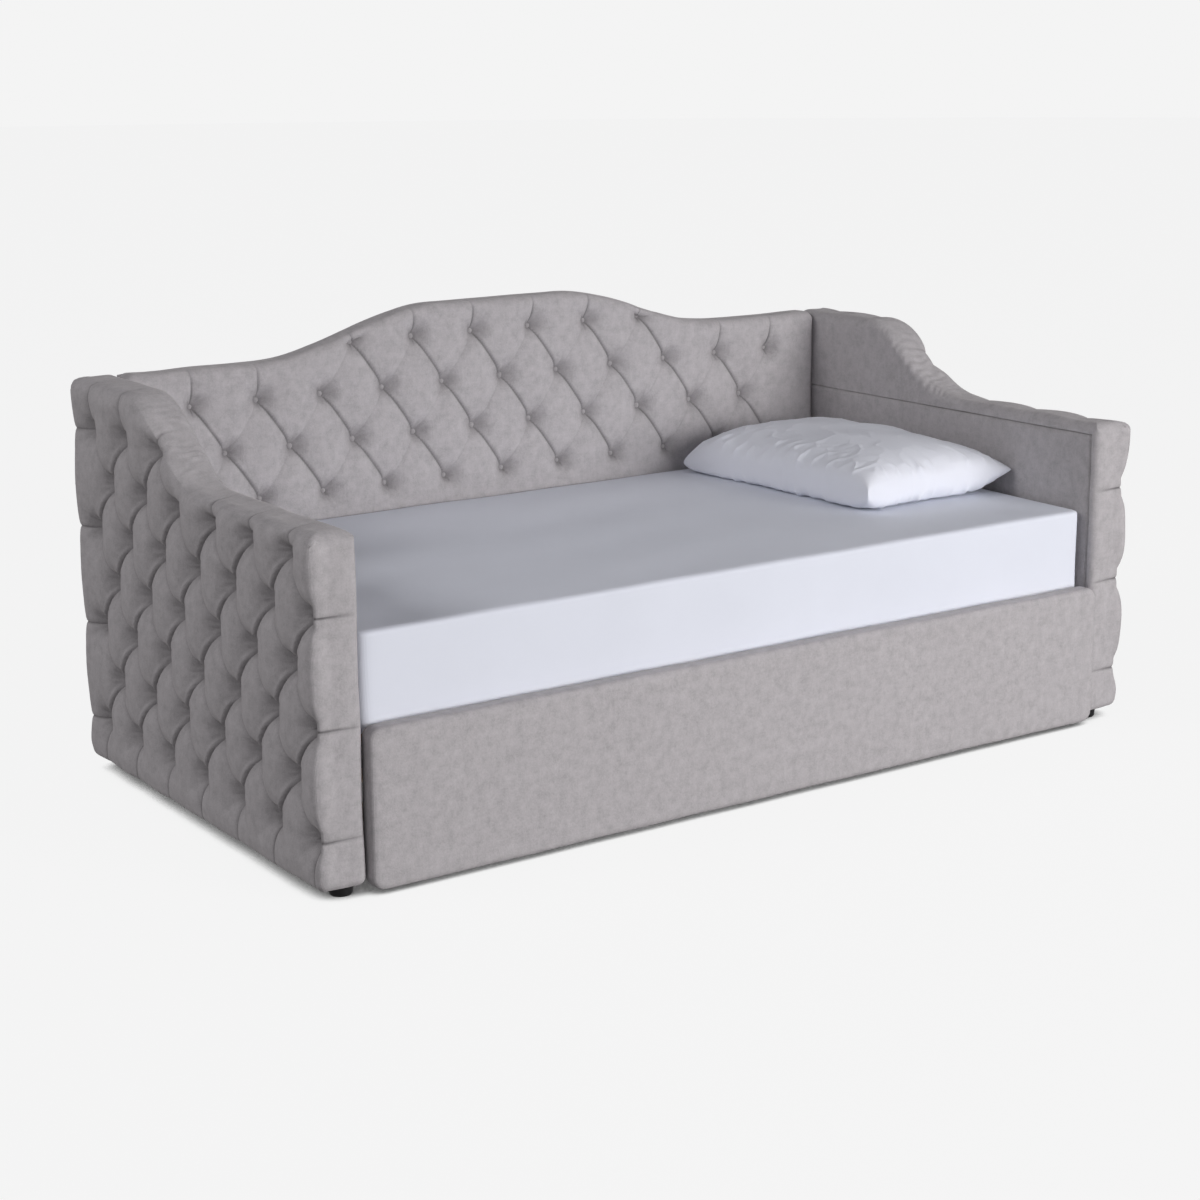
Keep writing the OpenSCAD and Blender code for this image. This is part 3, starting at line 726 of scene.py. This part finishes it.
def pillow_piece(material):
    """A full pillow lying on the mattress: two sheets sewn round the edge, puckered along the seam"""
    low, high = pillow_box
    half = Vector((high.x - low.x, high.y - low.y, 0)) / 2
    middle = (low + high) / 2
    height = high.z - low.z
    shell = Shell()
    across = closer_at_ends(181)[:, None]
    along = closer_at_ends(261)[None, :]
    for sign in (-1, 1):
        fill = (1 - np.abs(across) ** 2.6) * (1 - np.abs(along) ** 3.4)
        shell.patch(across, along, sign * fill, across, along, flip=sign < 0)
    points, _, faces = shell.weld()
    u = points[:, 0]
    v = points[:, 1]
    near_corner = np.clip((1 - u) / 2, 0, 1) ** 2 * np.clip((1 - v) / 2, 0, 1) ** 2
    rear_corner = np.clip((1 - u) / 2, 0, 1) ** 2 * np.clip((1 + v) / 2, 0, 1) ** 2
    right_corner = np.clip((1 + u) / 2, 0, 1) ** 2 * np.clip((1 - v) / 2, 0, 1) ** 2
    puff = np.abs(points[:, 2]) ** (0.44 - 0.16 * near_corner - 0.08 * rear_corner)
    top = points[:, 2] > 0
    seam = 0.40 * height * (1 - 0.55 * rear_corner - 0.1 * near_corner + 0.1 * right_corner)
    rise = np.where(top, (height - seam) * puff, -0.62 * height * puff)
    bow_u = 1 - 0.045 * (1 - v**2) - 0.05 * near_corner
    bow_v = 1 - 0.055 * (1 - u**2) - 0.03 * near_corner
    shape = np.stack([middle.x + half.x * u * bow_u, middle.y + half.y * v * bow_v, seam + rise], axis=1)
    shape[:, 2] = settle(shape[:, 2], 0.016)
    normals = vertex_normals(shape, faces)
    flat = shape[:, :2]
    edge_u = np.exp(-(1 - np.abs(u)) / 0.20) * (1 - np.abs(v) ** 6)
    edge_v = np.exp(-(1 - np.abs(v)) / 0.13) * (1 - np.abs(u) ** 6)
    puckers = edge_u * ridges(flat[:, 1] + 0.45 * flat[:, 0], 0.048, flat, 41)
    puckers = puckers + edge_v * ridges(flat[:, 0] + 0.3 * flat[:, 1], 0.042, flat, 43)
    drag = ridges(flat[:, 0] - 0.75 * flat[:, 1], 0.075, flat, 47) * (0.3 + 0.7 * np.clip(-u, 0, 1))
    pucker_height = 0.0110
    drag_height = 0.0045
    lift = pucker_height * puckers + drag_height * drag + 0.0030 * soft_noise(flat, 0.16, 49)
    lift = lift * np.clip(np.abs(points[:, 2]) * 9, 0, 1) * np.clip(shape[:, 2] / 0.015, 0, 1)
    shape = shape + normals * lift[:, None]
    shape[:, 2] *= height / shape[:, 2].max()
    shape[:, 2] += low.z
    obj = add_mesh("pillow_case", shape, faces, material)
    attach(obj, "pillow")
    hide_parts("pillow")


def closer_at_ends(count):
    """Places from -1 to 1, closer together towards both ends"""
    even = np.linspace(-1, 1, count)
    return 0.45 * even + 0.55 * np.sin(even * np.pi / 2)


def ridges(place, spacing, flat, seed):
    """Narrow folds with soft valleys between them, wandering a little"""
    wander = 0.9 * soft_noise(flat, 0.14, seed) + 0.5 * soft_noise(flat, 0.05, seed + 1)
    wave = 1 - np.abs(np.sin(place * np.pi / spacing + wander))
    return wave**1.6 * (0.6 + 0.4 * soft_noise(flat, 0.09, seed + 2))


def settle(z, soft):
    """Flattens what would sink below zero, with a soft turn"""
    return np.where(z > soft, z, soft * np.exp(np.minimum(z - soft, 0) / soft))


# ---------- materials ----------


def new_material(name, colour, roughness):
    """A principled material, its node tree, its shader and its places in the object's own space"""
    material = bpy.data.materials.new(name)
    material.use_nodes = True
    tree = material.node_tree
    shader = tree.nodes["Principled BSDF"]
    shader.inputs["Base Color"].default_value = (*colour, 1)
    shader.inputs["Roughness"].default_value = roughness
    place = tree.nodes.new("ShaderNodeTexCoord").outputs["Object"]
    return material, tree, shader, place


def noise_node(tree, place, scale, detail=3.0, stretch=None, rough=0.55):
    """Noise of a size, optionally stretched along the axes"""
    if stretch:
        mapping = tree.nodes.new("ShaderNodeMapping")
        mapping.inputs["Scale"].default_value = stretch
        tree.links.new(place, mapping.inputs["Vector"])
        place = mapping.outputs["Vector"]
    node = tree.nodes.new("ShaderNodeTexNoise")
    node.inputs["Scale"].default_value = scale
    node.inputs["Detail"].default_value = detail
    node.inputs["Roughness"].default_value = rough
    tree.links.new(place, node.inputs["Vector"])
    return node.outputs["Fac"]


def maths(tree, operation, first, second, third=None):
    """One arithmetic node; arguments are sockets or numbers"""
    node = tree.nodes.new("ShaderNodeMath")
    node.operation = operation
    for number, value in enumerate((first, second, third)):
        if value is None:
            continue
        if isinstance(value, (int, float)):
            node.inputs[number].default_value = value
        else:
            tree.links.new(value, node.inputs[number])
    return node.outputs["Value"]


def ramp(tree, factor, stops):
    """A colour ramp through (place, colour) stops"""
    node = tree.nodes.new("ShaderNodeValToRGB")
    elements = node.color_ramp.elements
    for number, (place, colour) in enumerate(stops):
        element = elements[number] if number < 2 else elements.new(place)
        element.position = place
        element.color = (*colour, 1)
    tree.links.new(factor, node.inputs["Fac"])
    return node.outputs["Color"]


def bump(tree, shader, height, distance, strength=1.0):
    """Raises the surface by a height map"""
    node = tree.nodes.new("ShaderNodeBump")
    node.inputs["Distance"].default_value = distance
    node.inputs["Strength"].default_value = strength
    tree.links.new(height, node.inputs["Height"])
    tree.links.new(node.outputs["Normal"], shader.inputs["Normal"])


def weave(tree, place, pitch):
    """A plain weave of threads in all three directions"""
    parts = tree.nodes.new("ShaderNodeSeparateXYZ")
    tree.links.new(place, parts.inputs["Vector"])
    waves = []
    for axis in ("X", "Y", "Z"):
        turned = maths(tree, "MULTIPLY", parts.outputs[axis], 2 * math.pi / pitch)
        waves.append(maths(tree, "SINE", turned, 0.0))
    return maths(tree, "ADD", maths(tree, "ADD", waves[0], waves[1]), waves[2])


def scaled(colour, amount):
    """A colour made lighter or darker"""
    return tuple(channel * amount for channel in colour)


def velvet_material():
    """Short-pile velvet: a mottled nap, faint crossed streaks, and painted shade that darkens it where the
    cloth is folded in
    """
    colour = (0.455, 0.436, 0.447)
    material, tree, shader, place = new_material("mottled_velvet", colour, 0.85)
    blotch = noise_node(tree, place, 42, 6.0, rough=0.65)
    streak_up = noise_node(tree, place, 60, 3.0, (2.6, 2.6, 0.5))
    streak_along = noise_node(tree, place, 60, 3.0, (0.5, 0.8, 2.8))
    fine = noise_node(tree, place, 300, 3.0)
    mix = maths(tree, "MULTIPLY_ADD", blotch, 0.52, maths(tree, "MULTIPLY", streak_up, 0.10))
    mix = maths(tree, "ADD", mix, maths(tree, "MULTIPLY", streak_along, 0.10))
    mix = maths(tree, "ADD", mix, maths(tree, "MULTIPLY", fine, 0.28))
    tone = ramp(tree, mix, [(0.36, scaled(colour, 0.82)), (0.66, scaled(colour, 1.16)), (0.5, colour)])
    # painted shade: the per-point fold value mixes the colour towards 0.22 of itself, standing in for shade
    # in creases and dimples
    painted_fold_shade = tree.nodes.new("ShaderNodeAttribute")
    painted_fold_shade.attribute_name = "painted_fold_shade"
    dark = tree.nodes.new("ShaderNodeMix")
    dark.data_type = "RGBA"
    tree.links.new(maths(tree, "MULTIPLY", painted_fold_shade.outputs["Fac"], 0.80), dark.inputs["Factor"])
    tree.links.new(tone, dark.inputs["A"])
    dark.inputs["B"].default_value = (*scaled(colour, 0.22), 1)
    tree.links.new(dark.outputs["Result"], shader.inputs["Base Color"])
    shader.inputs["Sheen Weight"].default_value = 0.25
    shader.inputs["Sheen Roughness"].default_value = 0.45
    shader.inputs["Sheen Tint"].default_value = (0.9, 0.86, 0.85, 1)
    shader.inputs["Specular IOR Level"].default_value = 0.15
    pile = maths(tree, "ADD", fine, maths(tree, "MULTIPLY", weave(tree, place, 0.0024), 0.12))
    bump(tree, shader, pile, 0.0012, 0.5)
    return material


def cotton_material(name, colour, pitch):
    """Plain-weave cotton with a soft cloudy unevenness"""
    material, tree, shader, place = new_material(name, colour, 0.75)
    cloud = noise_node(tree, place, 5, 3.0)
    thread = noise_node(tree, place, 500, 2.0)
    mix = maths(tree, "MULTIPLY_ADD", cloud, 0.7, maths(tree, "MULTIPLY", thread, 0.3))
    tone = ramp(tree, mix, [(0.3, scaled(colour, 0.965)), (0.7, colour)])
    tree.links.new(tone, shader.inputs["Base Color"])
    shader.inputs["Sheen Weight"].default_value = 0.08
    shader.inputs["Specular IOR Level"].default_value = 0.2
    bump(tree, shader, weave(tree, place, pitch), 0.0002, 0.35)
    return material


def ticking_material():
    """Knitted mattress ticking with a quilted relief"""
    colour = (0.80, 0.80, 0.78)
    material, tree, shader, place = new_material("mattress_ticking", colour, 0.85)
    pattern = weave(tree, place, 0.060)
    fine = noise_node(tree, place, 300, 2.0)
    tone = ramp(tree, fine, [(0.3, scaled(colour, 0.9)), (0.7, colour)])
    tree.links.new(tone, shader.inputs["Base Color"])
    bump(tree, shader, maths(tree, "ADD", pattern, maths(tree, "MULTIPLY", fine, 0.4)), 0.002, 0.5)
    return material


def wood_material(name, colour, along):
    """Planed softwood with grain along one axis"""
    material, tree, shader, place = new_material(name, colour, 0.6)
    stretch = [14.0, 14.0, 14.0]
    stretch[along] = 0.8
    grain = noise_node(tree, place, 3.0, 6.0, tuple(stretch), 0.62)
    pore = noise_node(tree, place, 30.0, 3.0, tuple(stretch), 0.6)
    rings = maths(tree, "FRACT", maths(tree, "MULTIPLY", grain, 7.0), 0.0)
    mix = maths(tree, "MULTIPLY_ADD", rings, 0.35, maths(tree, "MULTIPLY", pore, 0.65))
    tone = ramp(tree, mix, [(0.2, scaled(colour, 0.70)), (0.8, scaled(colour, 1.10)),
                            (0.5, scaled(colour, 0.95))])
    tree.links.new(tone, shader.inputs["Base Color"])
    bump(tree, shader, mix, 0.0006, 0.4)
    return material


def coated_material(name, colour, roughness, metallic, grain, relief):
    """Painted, plated or moulded surfaces with an orange-peel relief and slight wear"""
    material, tree, shader, place = new_material(name, colour, roughness)
    shader.inputs["Metallic"].default_value = metallic
    peel = noise_node(tree, place, grain, 3.0)
    wear = noise_node(tree, place, 45, 5.0)
    tone = ramp(tree, wear, [(0.35, scaled(colour, 0.85)), (0.75, scaled(colour, 1.25))])
    tree.links.new(tone, shader.inputs["Base Color"])
    rough = tree.nodes.new("ShaderNodeMapRange")
    rough.inputs["To Min"].default_value = roughness * 0.85
    rough.inputs["To Max"].default_value = min(1.0, roughness * 1.2)
    tree.links.new(wear, rough.inputs["Value"])
    tree.links.new(rough.outputs["Result"], shader.inputs["Roughness"])
    bump(tree, shader, peel, relief, 0.4)
    return material


def foam_material():
    """Open-cell upholstery foam"""
    colour = (0.80, 0.74, 0.55)
    material, tree, shader, place = new_material("upholstery_foam", colour, 0.95)
    cells = noise_node(tree, place, 700, 2.0)
    tone = ramp(tree, cells, [(0.3, scaled(colour, 0.8)), (0.7, colour)])
    tree.links.new(tone, shader.inputs["Base Color"])
    bump(tree, shader, cells, 0.001, 0.6)
    return material


def webbing_material():
    """Woven polyester tape"""
    colour = (0.74, 0.72, 0.66)
    material, tree, shader, place = new_material("woven_tape", colour, 0.8)
    threads = weave(tree, place, 0.0016)
    tone = ramp(tree, noise_node(tree, place, 90, 3.0), [(0.3, scaled(colour, 0.88)), (0.7, colour)])
    tree.links.new(tone, shader.inputs["Base Color"])
    bump(tree, shader, threads, 0.0006, 0.6)
    return material


def grain_axis(name):
    """The axis a board's grain runs along: its longest side"""
    low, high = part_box(name)
    if "slats" in name:
        return 1
    size = [high[k] - low[k] for k in range(3)]
    return size.index(max(size))


def dress_cad():
    """Gives every CAD node the finish of its slot"""
    by_slot = {
        "painted_steel": coated_material("black_powder_coat", (0.035, 0.035, 0.037), 0.45, 0.0, 600, 0.0004),
        "zinc_steel": coated_material("zinc_plating", (0.62, 0.62, 0.63), 0.35, 1.0, 900, 0.0001),
        "black_plastic": coated_material("moulded_plastic", (0.010, 0.010, 0.011), 0.38, 0.0, 900, 0.0002),
        "wheel_rubber": coated_material("wheel_rubber", (0.025, 0.025, 0.026), 0.7, 0.0, 500, 0.0004),
        "foam": foam_material(),
        "webbing": webbing_material(),
        "velvet": velvet,
        "mattress_ticking": ticking,
        "white_cotton": cotton,
        "pillow_cotton": pillow_cotton,
    }
    woods = [wood_material("pine_" + axis, (0.62, 0.44, 0.26), k) for k, axis in enumerate("xyz")]
    for part in frame["record"]["subparts"]:
        node = frame["nodes"][part["node"]]
        finish = part["material_slot"]
        material = woods[grain_axis(part["node"])] if finish == "timber" else by_slot[finish]
        node.data.materials.clear()
        node.data.materials.append(material)


# ---------- studio ----------


def plain_glow(material, strength, colour=0.0):
    """An evenly glowing surface of its own brightness, which lamps hardly change"""
    material.use_nodes = True
    shader = material.node_tree.nodes["Principled BSDF"]
    shader.inputs["Base Color"].default_value = (colour, colour, colour, 1)
    shader.inputs["Roughness"].default_value = 1.0
    shader.inputs["Specular IOR Level"].default_value = 0.0
    shader.inputs["Emission Color"].default_value = (1, 1, 1, 1)
    shader.inputs["Emission Strength"].default_value = strength


def shade_where_covered(material, strength):
    """Painted shadow on the glowing floor: it loses most of its glow wherever something close overhead hides
    the sky from it
    """
    least = 0.10
    tree = material.node_tree
    sky = tree.nodes.new("ShaderNodeAmbientOcclusion")
    sky.samples = 8
    sky.inputs["Distance"].default_value = 0.7
    seen = tree.nodes.new("ShaderNodeMapRange")
    seen.interpolation_type = "SMOOTHSTEP"
    tree.links.new(sky.outputs["AO"], seen.inputs["Value"])
    seen.inputs["From Min"].default_value = 0.10
    seen.inputs["From Max"].default_value = 0.42
    seen.inputs["To Min"].default_value = least * strength
    seen.inputs["To Max"].default_value = strength
    tree.links.new(seen.outputs["Result"], tree.nodes["Principled BSDF"].inputs["Emission Strength"])


def backdrop():
    """A floor and a far ring of wall, both pale, that light nothing themselves"""
    reach = 40.0
    around = 48
    pale_floor = bpy.data.materials.new("pale_floor")
    square = np.array([[-reach, -reach, 0], [reach, -reach, 0], [reach, reach, 0], [-reach, reach, 0]])
    floor = add_mesh("studio_floor", square, np.array([[0, 1, 2, 3]]), pale_floor)
    plain_glow(pale_floor, FLOOR_GLOW, 0.05)
    shade_where_covered(pale_floor, FLOOR_GLOW)
    turns = [2 * math.pi * k / around for k in range(around)]
    points = [[reach * math.cos(turn), reach * math.sin(turn), z] for z in (-0.5, reach) for turn in turns]
    faces = [[k, (k + 1) % around, around + (k + 1) % around, around + k] for k in range(around)]
    pale_wall = bpy.data.materials.new("pale_wall")
    wall = add_mesh("studio_wall", np.array(points), faces, pale_wall)
    plain_glow(pale_wall, WALL_GLOW)
    for obj in (floor, wall):
        obj.visible_diffuse = False
        obj.visible_glossy = False
        obj.visible_shadow = False
    return floor, wall


def softbox(name, middle, toward, distance, size, power):
    """A round soft lamp at a distance from a place, shining in a direction"""
    lamp = bpy.data.lights.new(name, "AREA")
    lamp.shape = "DISK"
    lamp.size = size
    lamp.energy = power
    lamp.color = (1.0, 0.985, 0.985)
    obj = bpy.data.objects.new(name, lamp)
    bpy.context.scene.collection.objects.link(obj)
    toward = toward.normalized()
    obj.location = middle - toward * distance
    obj.rotation_euler = toward.to_track_quat("-Z", "Y").to_euler()
    return obj


def studio():
    """A soft sky, one broad low light from the front and a smaller high one from the left rear"""
    floor, wall = backdrop()
    world = bpy.data.worlds.new("soft_sky")
    bpy.context.scene.world = world
    world.use_nodes = True
    tree = world.node_tree
    direction = tree.nodes.new("ShaderNodeTexCoord").outputs["Generated"]
    parts = tree.nodes.new("ShaderNodeSeparateXYZ")
    tree.links.new(direction, parts.inputs["Vector"])
    rise = maths(tree, "MULTIPLY_ADD", parts.outputs["Z"], 0.5, 0.5)
    sky = ramp(tree, rise, [(0.0, (0.14, 0.137, 0.138)), (1.0, (0.08, 0.08, 0.09)),
                            (0.45, (0.20, 0.195, 0.198)), (0.57, (0.36, 0.355, 0.365))])
    upward = maths(tree, "MULTIPLY", parts.outputs["Z"], 0.5)
    side = maths(tree, "MULTIPLY_ADD", parts.outputs["X"], -0.75, upward)
    fill = maths(tree, "MULTIPLY", maths(tree, "POWER", maths(tree, "MAXIMUM", side, 0.0), 3.0), 0.12)
    mix = tree.nodes.new("ShaderNodeMix")
    mix.data_type = "RGBA"
    mix.blend_type = "ADD"
    mix.inputs["Factor"].default_value = 1.0
    tree.links.new(sky, mix.inputs["A"])
    tree.links.new(fill, mix.inputs["B"])
    tree.links.new(mix.outputs["Result"], tree.nodes["Background"].inputs["Color"])
    middle = Vector((0, Y_FRONT, 0.4))
    key = softbox("front_softbox", middle, Vector((-0.35, 1.0, -0.20)), 6.5, 3.6, 360)
    rim = softbox("rear_left_softbox", middle, Vector((0.80, -0.22, -0.55)), 9.0, 3.2, 178)


def camera():
    """A long lens from the front left, a little above the back's height"""
    yaw = math.radians(CAMERA_YAW)
    pitch = math.radians(CAMERA_PITCH)
    roll = math.radians(CAMERA_ROLL)
    forward = Vector((math.sin(yaw) * math.cos(pitch), math.cos(yaw) * math.cos(pitch), -math.sin(pitch)))
    right = Vector((math.cos(yaw), -math.sin(yaw), 0))
    up = right.cross(forward)
    turned_right = right * math.cos(roll) + up * math.sin(roll)
    turned_up = up * math.cos(roll) - right * math.sin(roll)
    lens = bpy.data.cameras.new("studio_camera")
    lens.lens = CAMERA_LENS
    lens.sensor_width = 36
    lens.shift_x = 0.0101
    lens.shift_y = -0.0286
    lens.clip_end = 300
    eye = bpy.data.objects.new("studio_camera", lens)
    bpy.context.scene.collection.objects.link(eye)
    spot = Vector((-2.955, Y_FRONT - 3.645, 1.587))
    turn = Matrix((turned_right, turned_up, -forward)).transposed()
    eye.matrix_world = Matrix.Translation(spot) @ turn.to_4x4()
    bpy.context.scene.camera = eye


velvet = velvet_material()
cotton = cotton_material("sheet_cotton", (0.80, 0.83, 0.91), 0.0016)
pillow_cotton = cotton_material("pillow_cotton", (0.84, 0.86, 0.93), 0.0018)
ticking = ticking_material()

dress_cad()
arm_upholstery(1, velvet, 21)
arm_upholstery(-1, velvet, 22)
back_upholstery(velvet, 23)
back_outside(velvet)
arm_inner_panels(velvet)
trundle_front(velvet)
mattress_piece(ticking)
fitted_sheet_piece(cotton)
pillow_piece(pillow_cotton)
studio()
camera()
bpy.context.scene.view_settings.view_transform = "Standard"
